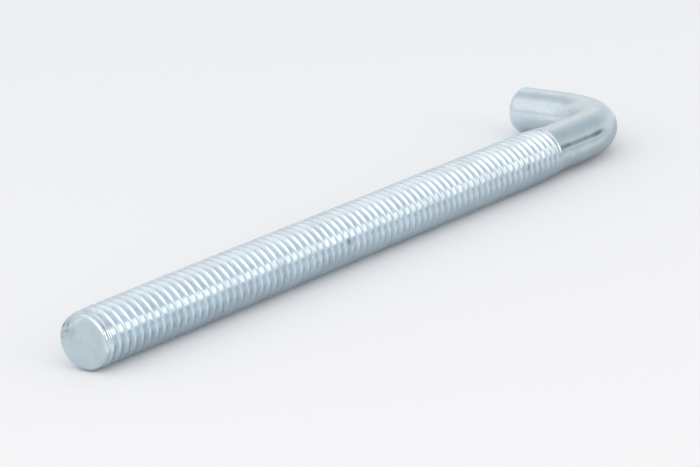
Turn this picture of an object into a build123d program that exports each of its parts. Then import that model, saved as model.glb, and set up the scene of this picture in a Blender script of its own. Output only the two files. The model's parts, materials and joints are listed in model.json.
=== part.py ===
"""L-hook screw, M6, cold-formed in one piece from a length of steel rod.

The long shank has an M6 thread rolled over most of its length. The rod's plain end is bent
through a right angle, and the short leg beyond the bend is the hook. The thread's helix is left
out: the threaded length is a plain turned form over its crests.

Frame, in millimetres: +X runs along the thread's axis from its tip towards the bend, the leg
points to +Y, and +Z is up from the level surface that the hook lies on. The origin is on the
thread's axis, where the full thread ends and its run-out starts.
"""

from build123d import *

import os
from math import asin, atan, cos, degrees, pi, radians, sin, tan

# Rod and thread
rod_diameter = 5.35  # the rod that the thread is rolled on, the pitch diameter of M6
crest_diameter = 6.0  # M6, over the crests
thread_length = 74.6  # on the axis, from the tip's face to the end of the run-out
run_out = 4.2  # length over which the last turns fade into the rod

# Tip: a rolling die leaves a short cone, and fills the first turns a little less than the rest
tip_diameter = 5.6  # where the cone meets the tip's face
tip_lead = 1.3  # length of the cone
lead_diameter = 5.88  # over the crests where the cone ends
fill_length = 12.0  # from the tip's face to the first crests of full diameter
tip_edge = 0.35  # rounding of the face's rim

# The cropping die cuts the rod a little out of square, and rolls its edge over where it enters
crop_angle = 5.6  # of the face, which stands out on the leg's side
crop_width = 0.7  # how far the rolled-over bevel reaches in from the rim
crop_depth = 0.47  # how far it falls at the rim
crop_side = 34.0  # where on the rim it lies, in degrees from +Z towards +Y

# Bend and leg. The rod is bent free in the air, so the bend is tightest in its middle
plain_shank = 4.6  # rod left straight between the run-out and the bend
bend_inner_radius = 5.8  # of the arc that touches both straights
bend_angle = 90.0
bend_peak = 0.66  # how far the bend's middle stands out from that arc
bend_thinning = 0.13  # stretched off the rod's diameter at the bend's middle
leg_straight = 5.6  # rod left straight beyond the bend
leg_edge = 0.85  # rounding of the leg's end

# Worked out from the sizes above
rod_radius = rod_diameter / 2
crest_radius = crest_diameter / 2
tip_radius = tip_diameter / 2
tip_x = run_out - thread_length
bend_start = run_out + plain_shank
bend_radius = bend_inner_radius + rod_radius  # of the rod's centre line
turn = radians(bend_angle)

# The crests are wider than the rod, so the hook lies rolled over until its leg's end is down too
leg_touch = bend_radius * (1 - cos(turn)) + (leg_straight - leg_edge) * sin(turn)
rest_roll = asin((crest_radius - rod_radius) / leg_touch)
lie = Plane(origin=(0, 0, 0), x_dir=(1, 0, 0), z_dir=(0, sin(rest_roll), cos(rest_roll)))


def rod_section(path, fraction):
    """Plane square to the path, with its x across the plane of the bend."""
    return Plane(origin=path @ fraction, x_dir=lie.z_dir, z_dir=path % fraction)


with BuildPart() as hook_screw:
    # Straight shank, turned about the thread's axis, with spare length at the tip
    lean = radians(crop_angle)
    spare = tip_radius * tan(lean)
    spare_fall = spare * (lead_diameter - tip_diameter) / 2 / tip_lead
    with BuildSketch(Plane.XY):
        with BuildLine():
            Polyline(
                (tip_x - spare, 0),
                (tip_x - spare, tip_radius - spare_fall),
                (tip_x + tip_lead, lead_diameter / 2),
                (tip_x + fill_length, crest_radius),
                (0, crest_radius),
                (run_out, rod_radius),
                (bend_start, rod_radius),
                (bend_start, 0),
                close=True,
            )
        make_face()
    revolve(axis=Axis.X)

    # The tip's face, cropped out of square, its rounded rim, and the bevel across it
    face = Plane(origin=(tip_x, 0, 0), x_dir=(0, 0, 1), z_dir=(-cos(lean), -sin(lean), 0))
    split(bisect_by=face, keep=Keep.BOTTOM)
    fillet(hook_screw.faces().sort_by(Axis.X)[0].edges(), tip_edge)
    fall = degrees(atan(crop_depth / crop_width))
    bevel = face.location * Rot(Z=crop_side) * Pos(X=tip_radius - crop_width) * Rot(Y=fall)
    split(bisect_by=Plane(bevel), keep=Keep.BOTTOM)

    # Bend, drawn through sections that stand out and thin towards its middle
    with BuildLine(lie) as bend:
        JernArc(start=(bend_start, 0), tangent=(1, 0), radius=bend_radius, arc_size=bend_angle)
    sections = 9
    for index in range(sections):
        fraction = index / (sections - 1)
        squeeze = sin(pi * fraction) ** 2
        with BuildSketch(rod_section(bend.line, fraction)):
            with Locations((0, squeeze * bend_peak)):
                Circle(rod_radius - squeeze * bend_thinning / 2)
    sweep(path=bend.wire(), multisection=True)

    # Leg, with its end rounded over
    with BuildSketch(rod_section(bend.line, 1)):
        Circle(rod_radius)
    extrude(amount=leg_straight)
    leg_rim = hook_screw.edges().filter_by(GeomType.CIRCLE).sort_by(Axis.Y)[-1]
    fillet(leg_rim, leg_edge)

hook_screw.part.label = "hook_screw"

os.makedirs("parts", exist_ok=True)
export_step(hook_screw.part, "parts/hook_screw.step")

box = hook_screw.part.bounding_box()
print("size", [round(length, 2) for length in box.size])
print("lowest point", round(box.min.Z, 3), "roll at rest", round(degrees(rest_roll), 3))
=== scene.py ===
"""Looks and stage for the l-hook screw: a rolled M6 thread on a bent, zinc-plated steel rod.

The whole hook is one piece. Its surface is laid out flat, as the distance along the rod, the
angle around it and the height off its axis, and is then wrapped round the bent path. Lengths are
in metres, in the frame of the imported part: +X along the thread's axis from the tip to the bend,
the origin where the full thread ends, and +Z up from the surface that the hook lies on.
"""

import json
from math import asin, atan, cos, pi, radians, sin, tan

import bmesh
import bpy
from bpy.props import FloatProperty, FloatVectorProperty, IntProperty, PointerProperty
from mathutils import Euler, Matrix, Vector


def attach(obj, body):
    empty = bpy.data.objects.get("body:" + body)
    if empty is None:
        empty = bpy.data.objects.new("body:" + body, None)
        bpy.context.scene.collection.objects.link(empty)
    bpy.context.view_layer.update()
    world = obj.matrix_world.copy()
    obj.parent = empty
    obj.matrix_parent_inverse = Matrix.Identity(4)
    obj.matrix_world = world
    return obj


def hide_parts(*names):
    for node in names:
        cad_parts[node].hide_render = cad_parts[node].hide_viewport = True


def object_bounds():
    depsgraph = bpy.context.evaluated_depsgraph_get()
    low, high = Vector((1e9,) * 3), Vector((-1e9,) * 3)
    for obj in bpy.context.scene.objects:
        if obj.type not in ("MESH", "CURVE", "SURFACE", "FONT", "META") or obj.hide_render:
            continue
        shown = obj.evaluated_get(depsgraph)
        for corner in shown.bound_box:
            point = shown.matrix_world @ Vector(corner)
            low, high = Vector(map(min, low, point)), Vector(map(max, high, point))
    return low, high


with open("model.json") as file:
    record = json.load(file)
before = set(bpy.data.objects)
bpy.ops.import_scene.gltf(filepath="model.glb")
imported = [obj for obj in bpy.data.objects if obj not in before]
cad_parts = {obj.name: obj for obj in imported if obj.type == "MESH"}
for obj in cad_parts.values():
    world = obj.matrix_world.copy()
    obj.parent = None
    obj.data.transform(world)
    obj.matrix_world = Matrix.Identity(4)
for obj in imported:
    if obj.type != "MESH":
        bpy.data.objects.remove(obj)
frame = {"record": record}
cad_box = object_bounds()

bl_info = {
    "name": "L-hook screw",
    "version": (1, 0, 0),
    "blender": (4, 5, 0),
    "location": "3D View > Sidebar > L-hook screw",
    "description": "Makes a zinc-plated l-hook screw with a rolled thread, and a stage for it",
    "category": "Mesh",
}

MM = 0.001
NODE = "hook_screw"
MATH = "ShaderNodeMath"
VECTOR = "ShaderNodeVectorMath"

# The hook's laid-out sheets
GRID_ENDS = 0.5  # a grid one unit wide runs from minus a half to a half
EARLY_TURNS = 2  # the strip starts this far before the tip
SPARE_TURNS = 3  # and has this many turns more than the thread
RIM_STARTS = 0.5  # the share of an end's rings that its flat face takes up
MERGE = 0.001 * MM  # corners nearer than this are one

# Where the plating's noise patterns start and end, and how rough its faults are
CLOUD_RANGE = (0.4, 0.7)
SPECK_RANGE = (0.72, 0.79)
STREAK_RANGE = (0.4, 0.6)
STREAK_GAPS = 0.3  # how much of a scuff is left between its streaks
CLOUD_BLUR = 0.06
SPECK_BLUR = 0.3
# Each scuff: millimetres along the thread's axis and off it, degrees from +Z to +Y, reach, depth
MARKS = (
    (-70.4, 2.3, 58, 1.5, 0.5),
    (-69.5, 2.8, -53, 0.5, 0.5),
    (-34.5, 2.7, -84, 0.6, 0.65),
    (-4.0, 2.9, -82, 0.7, 0.5),
    (13.9, 4.5, 74, 1.1, 0.2),
)

# The stage. Each soft lamp: azimuth and elevation as the hook sees it, how wide and how high, in
# degrees, and its strength, where 1 is as bright as the white around it
SOFTBOXES = (
    ("side_softbox", -88, 17, 22, 28, 1.95),
    ("tip_softbox", -154, 32, 48, 40, 0.75),
    ("rear_softbox", 158, 33, 42, 42, 0.18),
)
# Each grey card: the same, then how much it hides of what is behind it, and its colour
CARDS = (
    ("strip_card", -33, 7, 26, 22, 1.0, "324045"),
    ("back_card", -14, 34, 84, 60, 1.0, "BDC5C9"),
    ("leg_card", 76, 52, 62, 48, 0.68, "BCC3CB"),
    ("gap_card", -108, 12, 24, 48, 0.9, "BCC3CB"),
)
LAMP_COLOUR = "FFECDD"
LIGHT_DISTANCE = 0.42
CARD_DISTANCE = 0.9
CARD_RIM = 0.1  # the rim is soft from here, as a share of the way out
TENT_RADIUS = 1.4
FLOOR_HALF = 1.5
FLOOR_LEVEL = cad_box[0][2]
# How much of the floor shows through its painted shade, by millimetres behind the thread's axis
FLOOR_SHADE_STOPS = ((-13, 0.8), (-9, 1.0), (-6, 1.0), (-4, 0.8), (8, 0.8), (16, 1.0))
FLOOR_SHADE_REACH = 20 * MM
FLOOR_SHADE_TINT = "FCFFFF"
FLOOR_SHADE_GAP = 0.02 * MM
# The painted shade deepens round a place beyond the bend, and clears between two distances from it
BEND_SHADE = (22 * MM, -12 * MM, FLOOR_LEVEL)
BEND_SHADE_ENDS = (16 * MM, 38 * MM)

MOUNTS = {mount["name"]: mount for mount in frame["record"]["mounts"]}
CREST_RADIUS = MOUNTS["thread"]["dims"]["r_mm"] * MM
ROD_RADIUS = MOUNTS["leg"]["dims"]["r_mm"] * MM
LEG_AXIS = MOUNTS["leg"]["pos_m"][0]
LEG_DROP = asin(-MOUNTS["leg"]["axis"][2])


def length(name, description, default):
    """A size that the sidebar shows as a length."""
    return FloatProperty(
        name=name, description=description, default=default, subtype="DISTANCE", precision=5
    )


def angle(name, description, degrees):
    """A size that the sidebar shows as an angle."""
    return FloatProperty(
        name=name, description=description, default=radians(degrees), subtype="ANGLE"
    )


def share(name, description, default):
    """A look's strength, from 0 to 1."""
    return FloatProperty(
        name=name, description=description, default=default, min=0.0, max=1.0, subtype="FACTOR"
    )


def linear(colour):
    """An sRGB hex colour as linear red, green, blue and alpha."""
    parts = [int(colour[i : i + 2], 16) / 255 for i in (0, 2, 4)]
    return [c / 12.92 if c <= 0.04045 else ((c + 0.055) / 1.055) ** 2.4 for c in parts] + [1.0]


def hue(name, description, colour):
    """A colour in the sidebar, with its default given as sRGB hex."""
    return FloatVectorProperty(
        name=name,
        description=description,
        default=linear(colour)[:3],
        size=3,
        min=0.0,
        max=1.0,
        subtype="COLOR",
    )


class HookSizes(bpy.types.PropertyGroup):
    """Sizes of the hook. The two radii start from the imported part's mounts."""

    pitch: length("Pitch", "Distance from one crest to the next", 1.0 * MM)
    crest_radius: length("Crest radius", "Half the diameter over the crests", CREST_RADIUS)
    groove_depth: length("Groove depth", "From the crests down to the root", 0.63 * MM)
    crest_cut: length("Crest cut", "How much of the sharp crest is missing", 0.15 * MM)
    flank_angle: angle("Flank angle", "Slope of a flank, from the thread's axis", 60.0)
    softness: length("Softness", "Rounding of the crests and of the root", 0.12 * MM)
    start_turn: FloatProperty(
        name="Start", description="Where the crest passes +Y at the tip, in turns", default=0.635
    )
    fade_in: length("Fade-in", "Length over which the first groove deepens", 0.9 * MM)
    thread_length: length("Thread", "From the tip's face to the run-out's end", 74.6 * MM)
    last_groove: length("Last groove", "How far past the full crests it stays deep", 1.2 * MM)
    fade_out: length("Fade-out", "Length over which the last groove fades", 1.3 * MM)
    tip_radius: length("Tip radius", "Where the tip's cone meets its flat face", 2.8 * MM)
    tip_lead: length("Tip lead", "Length of the tip's cone", 1.3 * MM)
    lead_radius: length("Lead radius", "Over the crests where the cone ends", 2.94 * MM)
    fill_length: length("Fill length", "From the tip to the first full crests", 12.0 * MM)
    tip_edge: length("Tip edge", "Rounding between the flat face and the cone", 0.35 * MM)
    crop_angle: angle("Crop angle", "How far the tip's face is out of square", 5.6)
    crop_side: angle("Crop side", "Where on the rim the bevel lies, from +Z to +Y", 34.0)
    crop_width: length("Crop width", "How far the bevel reaches in from the rim", 0.7 * MM)
    crop_depth: length("Crop depth", "How far the bevel falls at the rim", 0.47 * MM)
    crop_softness: length("Crop softness", "Rounding between the bevel and the face", 0.2 * MM)
    run_out: length("Run-out", "Length over which the thread fades into the rod", 4.2 * MM)
    rod_radius: length("Rod radius", "Half the diameter of the plain rod", ROD_RADIUS)
    bend_inner: length("Bend radius", "Inner radius of the arc that the bend follows", 5.8 * MM)
    bend_angle: angle("Bend angle", "Angle that the rod is bent through", 90.0)
    bend_peak: length("Bend peak", "How far the bend's middle stands out", 0.66 * MM)
    bend_thinning: length("Thinning", "Lost off the rod's diameter in the bend", 0.13 * MM)
    leg_straight: length("Leg", "Straight rod beyond the bend", 5.6 * MM)
    leg_edge: length("Leg edge", "Rounding of the leg's end", 0.85 * MM)
    columns: IntProperty(name="Columns", description="Faces round the rod", default=64, min=16)
    steps: IntProperty(name="Steps", description="Faces from crest to crest", default=16, min=6)
    rod_rings: IntProperty(name="Rod rings", description="Faces along the rod", default=80, min=8)
    end_rings: IntProperty(name="End rings", description="Faces across an end", default=16, min=4)


class PlatingLook(bpy.types.PropertyGroup):
    """Look of the zinc plating."""

    zinc: hue("Zinc", "Colour of the bright, blue-passivated zinc", "DDEAF2")
    # Bluer and a little darker in the grooves: passivate pooling there, and painted shade
    groove_tint_and_shade: hue("Groove tint", "The same where it pools in the grooves", "DAE9F4")
    roughness: share("Roughness", "Roughness of the plating", 0.16)
    groove_blur: share("Groove blur", "Extra roughness at the groove's root", 0.07)
    cloud_size: length("Cloud size", "Width of the cloudy patches", 2.2 * MM)
    cloud_depth: share("Cloud depth", "How much the cloudy patches dull the zinc", 0.12)
    ripple_size: length("Ripple size", "Width of the drawn rod's faint ripples", 0.9 * MM)
    ripple_height: length("Ripple height", "Height of those ripples", 0.014 * MM)
    streak_size: length("Streak size", "Width of the streaks in a scuff", 0.45 * MM)
    speck_size: length("Speck size", "Width of the pinholes in the plating", 0.3 * MM)
    speck_depth: share("Speck depth", "How dark the pinholes are", 0.34)


class StageSettings(bpy.types.PropertyGroup):
    """The floor, the lights and the camera."""

    floor_colour: hue("Floor", "Colour of the floor", "D0D1D2")
    floor_white: hue("Floor white", "Colour that the camera and the metal see", "F5F8FC")
    # Painted shade over the floor's reflection beyond the bend
    floor_shade_beyond: share("Beyond", "How clear the floor's veil is beyond the bend", 0.82)
    world_strength: share("Surroundings", "How strongly the white around lights", 0.85)
    tent_low: share("Tent foot", "Shade of the light tent at its foot", 0.74)
    tent_high: share("Tent top", "Shade of the light tent at its top", 1.0)
    camera_place: FloatVectorProperty(
        name="Camera",
        description="Where the camera stands",
        default=(-0.24826, -0.186316, 0.090029),
        size=3,
        subtype="TRANSLATION",
        precision=5,
    )
    camera_turn: FloatVectorProperty(
        name="Camera turn",
        description="How the camera is turned",
        default=(radians(72.4797), radians(2.9493), radians(-50.2907)),
        size=3,
        subtype="EULER",
    )
    camera_lens: FloatProperty(
        name="Lens", description="Focal length, for a sensor 36 mm wide", default=149.406
    )


def add(tree, kind, inputs=(), out=0, **settings):
    """Adds a node with its settings, fills its inputs with values or links, returns an output.

    An output node has no output to return.
    """
    node = tree.nodes.new(kind)
    for name, value in settings.items():
        setattr(node, name, value)
    for key, value in inputs.items() if isinstance(inputs, dict) else enumerate(inputs):
        if isinstance(value, bpy.types.NodeSocket):
            tree.links.new(value, node.inputs[key])
        elif value is not None:
            node.inputs[key].default_value = value
    return node.outputs[out] if node.outputs else None


def cleared(owner):
    """The empty node tree of a new material or world."""
    owner.use_nodes = True
    owner.node_tree.nodes.clear()
    return owner.node_tree


def sheet(tree, columns, rows):
    """A flat grid, with how far round and how far along each corner lies, both from 0 to 1."""
    across = add(tree, MATH, (columns, 1), operation="ADD")
    down = add(tree, MATH, (rows, 1), operation="ADD")
    grid = add(tree, "GeometryNodeMeshGrid", (1.0, 1.0, across, down))
    place = add(tree, "GeometryNodeInputPosition")
    x, y, _ = add(tree, "ShaderNodeSeparateXYZ", (place,)).node.outputs
    around = add(tree, MATH, (x, GRID_ENDS), operation="ADD")
    along = add(tree, MATH, (y, GRID_ENDS), operation="ADD")
    return grid, around, along


def lay_out(tree, grid, along, around, height):
    """Puts a grid's corners at their distance along the rod, angle around it and height."""
    turned = add(tree, MATH, (around, 2 * pi), operation="MULTIPLY")
    place = add(tree, "ShaderNodeCombineXYZ", (along, turned, height))
    return add(tree, "GeometryNodeSetPosition", {0: grid, 2: place})


def stood_back(tree, around, radius, lean):
    """How far a face out of square stands back, at an angle round the rod and a radius."""
    turned = add(tree, MATH, (around, 2 * pi), operation="MULTIPLY")
    side = add(tree, MATH, (turned,), operation="COSINE")
    side = add(tree, MATH, (side, radius), operation="MULTIPLY")
    return add(tree, MATH, (side, lean), operation="MULTIPLY")


def groove_depth(tree, size, turn, along, tip_joint):
    """How deep the groove is: straight flanks between a rounded crest and a rounded root."""
    off_crest = add(tree, MATH, (turn, GRID_ENDS), operation="PINGPONG")
    off_crest = add(tree, MATH, (off_crest, size["Pitch"]), operation="MULTIPLY")
    steep = add(tree, MATH, (size["Flank angle"],), operation="TANGENT")
    cut = add(tree, MATH, (off_crest, steep), operation="MULTIPLY")
    cut = add(tree, MATH, (cut, size["Crest cut"]), operation="SUBTRACT")
    cut = add(tree, MATH, (cut, 0, size["Softness"]), operation="SMOOTH_MAX")
    cut = add(tree, MATH, (cut, size["Groove depth"], size["Softness"]), operation="SMOOTH_MIN")

    # It starts at the tip's rim and fades away in the run-out
    fade_end = add(tree, MATH, (tip_joint, size["Fade-in"]), operation="ADD")
    for span in (
        (along, tip_joint, fade_end, 0.0, 1.0),
        (along, size["Fade-out start"], size["Fade-out end"], 1.0, 0.0),
    ):
        faded = add(tree, "ShaderNodeMapRange", span, interpolation_type="SMOOTHSTEP")
        cut = add(tree, MATH, (cut, faded), operation="MULTIPLY")
    return cut


def crest_height(tree, size, along):
    """Height over the crests: the tip's cone, the filling first turns, the thread, the run-out."""
    run_out = [size["Run-out start"], size["Run-out end"], size["Crest radius"], size["Rod radius"]]
    top = add(tree, "ShaderNodeMapRange", (along, *run_out))
    for start, slope, radius in (
        (size["Tip joint"], size["Tip slope"], size["Tip joint radius"]),
        (size["Lead end"], size["Fill slope"], size["Lead radius"]),
    ):
        past_start = add(tree, MATH, (along, start), operation="SUBTRACT")
        cone = add(tree, MATH, (past_start, slope, radius), operation="MULTIPLY_ADD")
        top = add(tree, MATH, (top, cone), operation="MINIMUM")
    return top


def threaded_surface(tree, size):
    """The thread as one helical strip, clamped square at its two ends."""
    span = add(tree, MATH, (size["Run-out end"], size["Tip joint"]), operation="SUBTRACT")
    turns = add(tree, MATH, (span, size["Pitch"]), operation="DIVIDE")
    turns = add(tree, MATH, (turns,), operation="CEIL")
    turns = add(tree, MATH, (turns, SPARE_TURNS), operation="ADD")
    rows = add(tree, MATH, (turns, size["Steps"]), operation="MULTIPLY")
    grid, around, down = sheet(tree, size["Columns"], rows)

    # Distance along the rod: one pitch for each turn round it, from before the tip
    turn = add(tree, MATH, (down, turns), operation="MULTIPLY")
    wound = add(tree, MATH, (turn, around), operation="ADD")
    early = add(tree, MATH, (size["Start"], EARLY_TURNS), operation="ADD")
    wound = add(tree, MATH, (wound, early), operation="SUBTRACT")
    wound = add(tree, MATH, (wound, size["Pitch"], size["Tip joint"]), operation="MULTIPLY_ADD")
    back = stood_back(tree, around, size["Tip joint radius"], size["Tip lean"])
    tip_joint = add(tree, MATH, (size["Tip joint"], back), operation="SUBTRACT")
    along = add(tree, "ShaderNodeClamp", (wound, tip_joint, size["Run-out end"]))

    cut = groove_depth(tree, size, turn, along, tip_joint)
    top = crest_height(tree, size, along)
    height = add(tree, MATH, (top, cut), operation="SUBTRACT")
    groove = add(tree, MATH, (cut, size["Groove depth"]), operation="DIVIDE")
    grid = add(tree, "GeometryNodeStoreNamedAttribute", {0: grid, 2: "groove", 3: groove})
    return lay_out(tree, grid, along, around, height)


def plain_surface(tree, size):
    """The plain rod, from the thread's run-out to the rounding of the leg's end."""
    grid, around, down = sheet(tree, size["Columns"], size["Rod rings"])
    along = add(
        tree, "ShaderNodeMapRange", (down, 0.0, 1.0, size["Run-out end"], size["Leg joint"])
    )
    return lay_out(tree, grid, along, around, size["Rod radius"])


def rounded_end(tree, size, name, inward, lean, slope):
    """A flat round face with a rounded rim. Inward is 1 at the tip and -1 at the leg's end."""
    end, flat, edge, sweep = [size[f"{name} {part}"] for part in ("end", "flat", "edge", "sweep")]
    grid, around, out = sheet(tree, size["Columns"], size["End rings"])
    if inward < 0:
        out = add(tree, MATH, (1, out), operation="SUBTRACT")
    face = add(tree, "ShaderNodeMapRange", (out, 0.0, RIM_STARTS, 0.0, flat))
    curl = add(tree, "ShaderNodeMapRange", (out, RIM_STARTS, 1.0, 0.0, sweep))
    sine = add(tree, MATH, (curl,), operation="SINE")
    height = add(tree, MATH, (sine, edge, face), operation="MULTIPLY_ADD")
    cosine = add(tree, MATH, (curl,), operation="COSINE")
    fall = add(tree, MATH, (1, cosine), operation="SUBTRACT")
    fall = add(tree, MATH, (fall, edge), operation="MULTIPLY")
    along = add(tree, MATH, (fall, inward, end), operation="MULTIPLY_ADD")

    # A face out of square leans back along its cone, which is narrower where it stands out
    back = stood_back(tree, around, height, lean)
    along = add(tree, MATH, (along, back), operation="SUBTRACT")
    cone = add(tree, "ShaderNodeMapRange", (out, RIM_STARTS, 1.0, 0.0, slope))
    narrower = add(tree, MATH, (back, cone), operation="MULTIPLY")
    height = add(tree, MATH, (height, narrower), operation="SUBTRACT")
    return lay_out(tree, grid, along, around, height)


def cropped(tree, size, place):
    """Pushes the corners past the cropping die's bevel back onto it."""
    sideways = add(tree, VECTOR, (place, size["Crop direction"]), "Value", operation="DOT_PRODUCT")
    over = add(tree, MATH, (sideways, size["Crop reach"]), operation="SUBTRACT")
    x, y, z = add(tree, "ShaderNodeSeparateXYZ", (place,)).node.outputs
    face = add(tree, MATH, (y, size["Tip lean"]), operation="MULTIPLY")
    face = add(tree, MATH, (size["Tip end"], face), operation="SUBTRACT")
    bevel = add(tree, MATH, (over, size["Crop slope"], face), operation="MULTIPLY_ADD")
    x = add(tree, MATH, (x, bevel, size["Crop softness"]), operation="SMOOTH_MAX")
    return add(tree, "ShaderNodeCombineXYZ", (x, y, z))


def wrapped(tree, size, sheets):
    """Wraps the laid-out sheets round the bent path and rolls the leg down to the surface."""
    place = add(tree, "GeometryNodeInputPosition")
    along, around, height = add(tree, "ShaderNodeSeparateXYZ", (place,)).node.outputs

    # The path: straight, then an arc, then straight again
    past_start = add(tree, MATH, (along, size["Bend start"]), operation="SUBTRACT")
    arc = add(tree, MATH, (past_start, size["Bend radius"]), operation="DIVIDE")
    arc = add(tree, "ShaderNodeClamp", (arc, 0.0, size["Bend angle"]))
    arc_length = add(tree, MATH, (arc, size["Bend radius"]), operation="MULTIPLY")
    beyond = add(tree, MATH, (past_start, arc_length), operation="SUBTRACT")
    beyond = add(tree, MATH, (beyond, 0), operation="MAXIMUM")
    sine = add(tree, MATH, (arc,), operation="SINE")
    cosine = add(tree, MATH, (arc,), operation="COSINE")

    # The section, thinned and standing out towards the middle of the bend
    share_bent = add(tree, MATH, (arc, size["Bend angle"]), operation="DIVIDE")
    squeeze = add(tree, MATH, (share_bent, pi), operation="MULTIPLY")
    squeeze = add(tree, MATH, (squeeze,), operation="SINE")
    squeeze = add(tree, MATH, (squeeze, 2), operation="POWER")
    thin = add(tree, MATH, (squeeze, size["Thinning"], 1), operation="MULTIPLY_ADD")
    peak = add(tree, MATH, (squeeze, size["Bend peak"]), operation="MULTIPLY")
    in_plane = add(tree, MATH, (around,), operation="COSINE")
    in_plane = add(tree, MATH, (in_plane, height), operation="MULTIPLY")
    in_plane = add(tree, MATH, (in_plane, thin), operation="MULTIPLY")
    upward = add(tree, MATH, (around,), operation="SINE")
    upward = add(tree, MATH, (upward, height), operation="MULTIPLY")
    upward = add(tree, MATH, (upward, thin), operation="MULTIPLY")

    # Where the two together put each corner
    reach = add(tree, MATH, (size["Bend radius"], in_plane), operation="SUBTRACT")
    reach = add(tree, MATH, (reach, peak), operation="ADD")
    x = add(tree, MATH, (along, size["Bend start"]), operation="MINIMUM")
    x = add(tree, MATH, (reach, sine, x), operation="MULTIPLY_ADD")
    x = add(tree, MATH, (beyond, cosine, x), operation="MULTIPLY_ADD")
    y = add(tree, MATH, (reach, cosine), operation="MULTIPLY")
    y = add(tree, MATH, (size["Bend radius"], y), operation="SUBTRACT")
    y = add(tree, MATH, (beyond, sine, y), operation="MULTIPLY_ADD")
    place = add(tree, "ShaderNodeCombineXYZ", (x, y, upward))
    rolled = {"Vector": place, "Angle": size["Roll"]}
    place = add(tree, "ShaderNodeVectorRotate", rolled, rotation_type="X_AXIS")

    place = cropped(tree, size, place)
    joined = add(tree, "GeometryNodeJoinGeometry")
    for piece in reversed(sheets):
        tree.links.new(piece, joined.node.inputs[0])
    bent = add(tree, "GeometryNodeSetPosition", {0: joined, 2: place})
    return add(tree, "GeometryNodeMergeByDistance", {0: bent, "Distance": MERGE})


def hook_inputs(sizes):
    """The tree's inputs: name, kind of socket, subtype and value, worked out from the sizes."""
    slope = (sizes.lead_radius - sizes.tip_radius) / sizes.tip_lead
    lean = atan(slope)
    sweep = pi / 2 - lean
    tip_end = sizes.run_out - sizes.thread_length
    tip_flat = sizes.tip_radius - sizes.tip_edge * tan(sweep / 2)
    fill = sizes.fill_length - sizes.tip_lead
    bend_start = LEG_AXIS - sizes.bend_inner - sizes.rod_radius
    bend_radius = sizes.bend_inner + sizes.rod_radius
    leg_end = bend_start + bend_radius * sizes.bend_angle + sizes.leg_straight
    side = sizes.crop_side
    lengths = {
        "Pitch": sizes.pitch,
        "Crest radius": sizes.crest_radius,
        "Groove depth": sizes.groove_depth,
        "Crest cut": sizes.crest_cut,
        "Softness": sizes.softness,
        "Fade-in": sizes.fade_in,
        "Tip end": tip_end,
        "Tip flat": tip_flat,
        "Tip edge": sizes.tip_edge,
        "Tip joint": tip_end + sizes.tip_edge * (1 - cos(sweep)),
        "Tip joint radius": tip_flat + sizes.tip_edge * sin(sweep),
        "Lead end": tip_end + sizes.tip_lead,
        "Lead radius": sizes.lead_radius,
        "Run-out start": 0.0,
        "Run-out end": sizes.run_out,
        "Fade-out start": sizes.last_groove,
        "Fade-out end": sizes.last_groove + sizes.fade_out,
        "Rod radius": sizes.rod_radius,
        "Bend start": bend_start,
        "Bend radius": bend_radius,
        "Bend peak": sizes.bend_peak,
        "Leg joint": leg_end - sizes.leg_edge,
        "Leg end": leg_end,
        "Leg edge": sizes.leg_edge,
        "Leg flat": sizes.rod_radius - sizes.leg_edge,
        "Crop reach": sizes.tip_radius - sizes.crop_width,
        "Crop softness": sizes.crop_softness,
    }
    numbers = {
        "Start": sizes.start_turn,
        "Flank angle": sizes.flank_angle,
        "Tip slope": slope,
        "Tip sweep": sweep,
        "Leg sweep": pi / 2,
        "Bend angle": sizes.bend_angle,
        "Roll": -LEG_DROP,
        "Thinning": -sizes.bend_thinning / (2 * sizes.rod_radius),
        "Tip lean": tan(sizes.crop_angle),
        "Fill slope": (sizes.crest_radius - sizes.lead_radius) / fill,
        "Crop slope": sizes.crop_depth / sizes.crop_width,
    }
    counts = {
        "Columns": sizes.columns,
        "Steps": sizes.steps,
        "Rod rings": sizes.rod_rings,
        "End rings": sizes.end_rings,
    }
    directions = {"Crop direction": Vector((0, sin(side), cos(side)))}
    kinds = (
        ("NodeSocketFloat", "DISTANCE", lengths),
        ("NodeSocketFloat", "NONE", numbers),
        ("NodeSocketInt", "NONE", counts),
        ("NodeSocketVector", "NONE", directions),
    )
    return [(name, kind, subtype, found[name]) for kind, subtype, found in kinds for name in found]


def hook_tree(inputs, material):
    """Builds the Geometry Nodes tree of the whole hook."""
    tree = bpy.data.node_groups.new("Hook screw", "GeometryNodeTree")
    tree.interface.new_socket("Geometry", in_out="INPUT", socket_type="NodeSocketGeometry")
    tree.interface.new_socket("Geometry", in_out="OUTPUT", socket_type="NodeSocketGeometry")
    for name, kind, subtype, value in inputs:
        socket = tree.interface.new_socket(name, in_out="INPUT", socket_type=kind)
        socket.subtype = subtype
        socket.default_value = value
    group = add(tree, "NodeGroupInput").node
    size = {name: group.outputs[name] for name, *_ in inputs}

    tip = rounded_end(tree, size, "Tip", 1, size["Tip lean"], size["Tip slope"])
    leg = rounded_end(tree, size, "Leg", -1, 0, 0)
    sheets = [tip, threaded_surface(tree, size), plain_surface(tree, size), leg]
    skin = wrapped(tree, size, sheets)
    skin = add(tree, "GeometryNodeSetShadeSmooth", (skin,))
    skin = add(tree, "GeometryNodeRealizeInstances", (skin,))
    skin = add(tree, "GeometryNodeSetMaterial", {0: skin, "Material": material})
    add(tree, "NodeGroupOutput", (skin,))
    return tree


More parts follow.
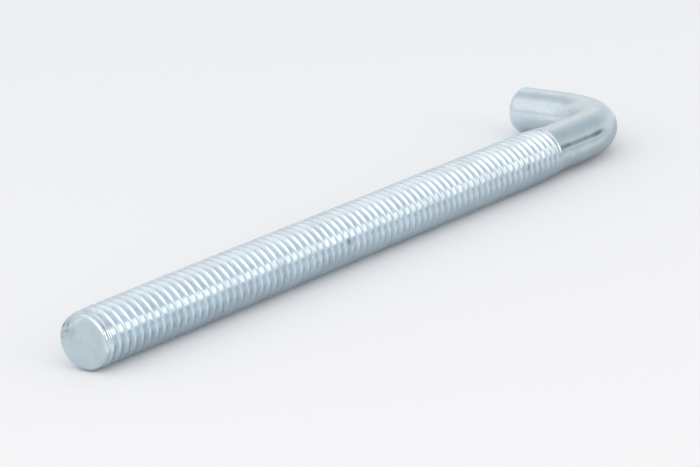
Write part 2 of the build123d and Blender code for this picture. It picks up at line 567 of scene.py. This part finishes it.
def scuffs(tree, place, streak_size):
    """Where the die or another screw has rubbed, the zinc is darker, in streaks."""
    scuff = 0.0
    for along, off_axis, around, reach, depth in MARKS:
        side = radians(around)
        spot = MM * Vector((along, off_axis * sin(side), off_axis * cos(side)))
        off_spot = add(tree, VECTOR, (place, spot), "Value", operation="DISTANCE")
        near = add(tree, "ShaderNodeMapRange", (off_spot, 0.0, reach * MM, depth, 0.0))
        scuff = add(tree, MATH, (scuff, near), operation="MAXIMUM")
    rubs = {"Vector": place, "Scale": 1 / streak_size, "Detail": 2.0}
    streaks = add(tree, "ShaderNodeTexNoise", rubs)
    streaks = add(tree, "ShaderNodeMapRange", (streaks, *STREAK_RANGE, STREAK_GAPS, 1.0))
    return add(tree, MATH, (scuff, streaks), operation="MULTIPLY")


def zinc_plating(look):
    """Bright zinc with a blue passivate over rolled steel."""
    material = bpy.data.materials.new("zinc_plated_steel")
    tree = cleared(material)
    place = add(tree, "ShaderNodeTexCoord", out="Object")
    groove = add(tree, "ShaderNodeAttribute", out="Fac", attribute_name="groove")

    # Colour: a cold white that turns bluer and darker in the grooves: passivate pooling and painted
    # shade
    shades = {0: groove, 6: [*look.zinc, 1.0], 7: [*look.groove_tint_and_shade, 1.0]}
    colour = add(tree, "ShaderNodeMix", shades, out=2, data_type="RGBA")

    # Clouds: the dipped rod dries in patches, which take a little off the shine
    patches = {"Vector": place, "Scale": 1 / look.cloud_size, "Detail": 4.0, "Roughness": 0.65}
    clouds = add(tree, "ShaderNodeTexNoise", patches)
    dull = add(tree, "ShaderNodeMapRange", (clouds, *CLOUD_RANGE, 0.0, 1.0))
    bright = add(tree, MATH, (dull, -look.cloud_depth, 1.0), operation="MULTIPLY_ADD")

    # Pinholes: a few dark dots, no wider than a third of a crest
    pores = {"Vector": place, "Scale": 1 / look.speck_size, "Detail": 1.0}
    dots = add(tree, "ShaderNodeTexNoise", pores)
    dots = add(tree, "ShaderNodeMapRange", (dots, *SPECK_RANGE, 0.0, look.speck_depth))
    bright = add(tree, MATH, (bright, dots), operation="SUBTRACT")

    scuff = scuffs(tree, place, look.streak_size)
    bright = add(tree, MATH, (bright, scuff), operation="SUBTRACT")
    colour = add(tree, VECTOR, {0: colour, 3: bright}, operation="SCALE")

    # Shine: blurred a little in the clouds, the pinholes and the grooves
    rough = add(tree, MATH, (dull, CLOUD_BLUR, look.roughness), operation="MULTIPLY_ADD")
    rough = add(tree, MATH, (dots, SPECK_BLUR, rough), operation="MULTIPLY_ADD")
    rough = add(tree, MATH, (groove, look.groove_blur, rough), operation="MULTIPLY_ADD")

    # Ripples: the drawn and rolled steel under the thin plating breaks up the highlights
    waves = {"Vector": place, "Scale": 1 / look.ripple_size, "Detail": 2.0}
    ripples = add(tree, "ShaderNodeTexNoise", waves)
    normal = add(tree, "ShaderNodeBump", {"Height": ripples, "Distance": look.ripple_height})
    finish = {"Base Color": colour, "Metallic": 1.0, "Roughness": rough, "Normal": normal}
    shader = add(tree, "ShaderNodeBsdfPrincipled", finish)
    add(tree, "ShaderNodeOutputMaterial", (shader,))
    return material


class HOOK_OT_make(bpy.types.Operator):
    """Makes the zinc-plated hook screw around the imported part"""

    bl_idname = "hook_screw.make"
    bl_label = "Make the hook screw"

    def execute(self, context):
        inputs = hook_inputs(context.scene.hook_sizes)
        tree = hook_tree(inputs, zinc_plating(context.scene.hook_plating))
        maker = bpy.data.objects.new("hook_maker", bpy.data.meshes.new("hook_maker"))
        context.scene.collection.objects.link(maker)
        modifier = maker.modifiers.new("Hook screw", "NODES")
        modifier.node_group = tree
        values = {name: value for name, *_, value in inputs}
        for item in tree.interface.items_tree:
            if item.name in values:
                modifier[item.identifier] = values[item.name]
        context.view_layer.update()
        evaluated = maker.evaluated_get(context.evaluated_depsgraph_get())
        mesh = bpy.data.meshes.new_from_object(evaluated)
        if not mesh.polygons:
            raise RuntimeError("the hook's tree made no faces")
        bpy.data.objects.remove(maker)
        mesh.name = "zinc_hook_screw"
        hook = bpy.data.objects.new("zinc_hook_screw", mesh)
        context.scene.collection.objects.link(hook)
        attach(hook, "root")
        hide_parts(NODE)
        return {"FINISHED"}


def facing(azimuth, elevation):
    """Direction from the hook, and the turn of something there that faces the hook."""
    turn = Euler((pi / 2 - elevation, 0, azimuth + pi / 2))
    away = Vector((cos(elevation) * cos(azimuth), cos(elevation) * sin(azimuth), sin(elevation)))
    return away, turn


def softbox(scene, name, azimuth, elevation, wide, high, strength):
    """A soft lamp that adds its strength to whatever white the metal shows in its place."""
    lamp = bpy.data.lights.new(name, "AREA")
    lamp.shape = "RECTANGLE"
    lamp.size = 2 * LIGHT_DISTANCE * tan(radians(wide) / 2)
    lamp.size_y = 2 * LIGHT_DISTANCE * tan(radians(high) / 2)
    lamp.energy = strength * pi * lamp.size * lamp.size_y
    lamp.color = linear(LAMP_COLOUR)[:3]
    away, turn = facing(radians(azimuth), radians(elevation))
    holder = bpy.data.objects.new(name, lamp)
    holder.location = LIGHT_DISTANCE * away
    holder.rotation_euler = turn
    scene.collection.objects.link(holder)


def square(name, half, level=0.0):
    """A level square mesh."""
    mesh = bpy.data.meshes.new(name)
    sides = ((-1, -1), (1, -1), (1, 1), (-1, 1))
    mesh.from_pydata([(half * x, half * y, level) for x, y in sides], [], [(0, 1, 2, 3)])
    return mesh


def for_the_metal_only(scene, name, mesh, glow_of):
    """A glowing sheet of the stage that nothing but the metal shows."""
    paint = bpy.data.materials.new(name)
    tree = cleared(paint)
    add(tree, "ShaderNodeOutputMaterial", (glow_of(tree),))
    mesh.materials.append(paint)
    sheet_object = bpy.data.objects.new(name, mesh)
    sheet_object.visible_camera = False
    sheet_object.visible_diffuse = False
    sheet_object.visible_shadow = False
    scene.collection.objects.link(sheet_object)
    return sheet_object


def seen(tree):
    """1 where the camera looks, straight on or by way of metal or glass, and 0 elsewhere."""
    rays = add(tree, "ShaderNodeLightPath").node
    kinds = [rays.outputs[f"Is {kind} Ray"] for kind in ("Camera", "Glossy", "Transmission")]
    direct = add(tree, MATH, kinds[:2], operation="MAXIMUM")
    return add(tree, MATH, (direct, kinds[2]), operation="MAXIMUM")


def card(scene, name, azimuth, elevation, wide, high, most, colour):
    """A grey card with a soft rim, which the metal shows as a darker patch in its shine."""
    half_wide = CARD_DISTANCE * tan(radians(wide) / 2)
    half_high = CARD_DISTANCE * tan(radians(high) / 2)

    def glow_of(tree):
        place = add(tree, "ShaderNodeTexCoord", out="Object")
        off_middle = add(tree, VECTOR, (place,), "Value", operation="LENGTH")
        cover = add(
            tree,
            "ShaderNodeMapRange",
            (off_middle, CARD_RIM, 1.0, most, 0.0),
            interpolation_type="SMOOTHSTEP",
        )
        glow = add(tree, "ShaderNodeEmission", (linear(colour),))
        clear = add(tree, "ShaderNodeBsdfTransparent")
        return add(tree, "ShaderNodeMixShader", (cover, clear, glow))

    board = for_the_metal_only(scene, name, square(name, 1), glow_of)
    away, turn = facing(radians(azimuth), radians(elevation))
    board.location = CARD_DISTANCE * away
    board.rotation_euler = turn
    board.scale = (half_wide, half_high, 1.0)


def painted_shade(scene, beyond):
    """A sheet on the floor that tones down what the metal shows of the floor: painted shadow."""

    def glow_of(tree):
        place = add(tree, "ShaderNodeTexCoord", out="Object")
        back = add(tree, "ShaderNodeSeparateXYZ", (place,), out="Y")
        back = add(tree, "ShaderNodeMapRange", (back, -FLOOR_SHADE_REACH, FLOOR_SHADE_REACH))
        ramp = add(tree, "ShaderNodeValToRGB", (back,))
        stops = ramp.node.color_ramp.elements
        stops.remove(stops[0])
        for past, shown in FLOOR_SHADE_STOPS:
            stop = stops.new((past * MM / FLOOR_SHADE_REACH + 1) / 2)
            stop.color = (shown, shown, shown, 1.0)
        stops.remove(stops[-1])
        # Deeper painted shade round a place beyond the bend
        off_bend = add(tree, VECTOR, (place, BEND_SHADE), "Value", operation="DISTANCE")
        shade = add(
            tree,
            "ShaderNodeMapRange",
            (off_bend, *BEND_SHADE_ENDS, beyond, 1.0),
            interpolation_type="SMOOTHSTEP",
        )
        shade = add(tree, MATH, (shade, ramp), operation="MULTIPLY")
        tinted = {"Vector": linear(FLOOR_SHADE_TINT)[:3], "Scale": shade}
        tinted = add(tree, VECTOR, tinted, operation="SCALE")
        return add(tree, "ShaderNodeBsdfTransparent", (tinted,))

    mesh = square("floor_veil", FLOOR_HALF, FLOOR_LEVEL + FLOOR_SHADE_GAP)
    for_the_metal_only(scene, "floor_veil", mesh, glow_of)


def tent(scene, low, high):
    """A pale dome over the hook, from one shade at its foot to another at its top."""
    mesh = bpy.data.meshes.new("light_tent")
    dome = bmesh.new()
    bmesh.ops.create_uvsphere(dome, u_segments=64, v_segments=32, radius=TENT_RADIUS)
    dome.to_mesh(mesh)
    dome.free()

    def glow_of(tree):
        place = add(tree, "ShaderNodeTexCoord", out="Object")
        height = add(tree, "ShaderNodeSeparateXYZ", (place,), out="Z")
        shade = add(tree, "ShaderNodeMapRange", (height, 0.0, TENT_RADIUS, low, high))
        return add(tree, "ShaderNodeEmission", (shade,))

    for_the_metal_only(scene, "light_tent", mesh, glow_of)


class HOOK_OT_stage(bpy.types.Operator):
    """Lays the floor and sets the lights and the camera"""

    bl_idname = "hook_screw.stage"
    bl_label = "Set the stage"

    def execute(self, context):
        scene = context.scene
        stage = scene.hook_stage
        scene.view_settings.view_transform = "Standard"

        floor_mesh = square("floor", FLOOR_HALF, FLOOR_LEVEL)
        floor = bpy.data.objects.new("floor", floor_mesh)
        scene.collection.objects.link(floor)
        paint = bpy.data.materials.new("matt_pale_floor")
        tree = cleared(paint)
        shades = {0: seen(tree), 6: [*stage.floor_colour, 1.0], 7: [*stage.floor_white, 1.0]}
        colour = add(tree, "ShaderNodeMix", shades, out=2, data_type="RGBA")
        matt = add(tree, "ShaderNodeBsdfDiffuse", (colour,))
        add(tree, "ShaderNodeOutputMaterial", (matt,))
        floor_mesh.materials.append(paint)

        scene.world = bpy.data.worlds.new("studio")
        tree = cleared(scene.world)
        levels = (seen(tree), 0.0, 1.0, stage.world_strength, 1.0)
        strength = add(tree, "ShaderNodeMapRange", levels)
        sky = add(tree, "ShaderNodeBackground", {"Color": (1, 1, 1, 1), "Strength": strength})
        add(tree, "ShaderNodeOutputWorld", (sky,))

        # Painted shadow of the hook in the floor that the metal shows
        painted_shade(scene, stage.floor_shade_beyond)
        tent(scene, stage.tent_low, stage.tent_high)
        for setting in SOFTBOXES:
            softbox(scene, *setting)
        for setting in CARDS:
            card(scene, *setting)

        camera = bpy.data.cameras.new("camera")
        camera.sensor_width = 36.0
        camera.lens = stage.camera_lens
        camera.clip_start = 0.01
        holder = bpy.data.objects.new("camera", camera)
        holder.location = stage.camera_place
        holder.rotation_euler = stage.camera_turn
        scene.collection.objects.link(holder)
        scene.camera = holder
        return {"FINISHED"}


class HOOK_PT_panel(bpy.types.Panel):
    """Sizes, looks and buttons of the hook screw"""

    bl_label = "L-hook screw"
    bl_space_type = "VIEW_3D"
    bl_region_type = "UI"
    bl_category = "L-hook screw"

    def draw(self, context):
        layout = self.layout
        for group, operator in (
            (context.scene.hook_sizes, HOOK_OT_make),
            (context.scene.hook_plating, None),
            (context.scene.hook_stage, HOOK_OT_stage),
        ):
            box = layout.box()
            for name in group.bl_rna.properties.keys():
                if name not in ("rna_type", "name"):
                    box.prop(group, name)
            if operator:
                box.operator(operator.bl_idname)


CLASSES = (HookSizes, PlatingLook, StageSettings, HOOK_OT_make, HOOK_OT_stage, HOOK_PT_panel)


def register():
    """Adds the classes, and the hook's settings to each scene."""
    for cls in CLASSES:
        bpy.utils.register_class(cls)
    bpy.types.Scene.hook_sizes = PointerProperty(type=HookSizes)
    bpy.types.Scene.hook_plating = PointerProperty(type=PlatingLook)
    bpy.types.Scene.hook_stage = PointerProperty(type=StageSettings)


def unregister():
    """Takes them away again."""
    del bpy.types.Scene.hook_stage
    del bpy.types.Scene.hook_plating
    del bpy.types.Scene.hook_sizes
    for cls in reversed(CLASSES):
        bpy.utils.unregister_class(cls)


def main():
    """Makes the hook and its stage."""
    register()
    bpy.ops.hook_screw.make()
    bpy.ops.hook_screw.stage()


if __name__ == "__main__":
    main()
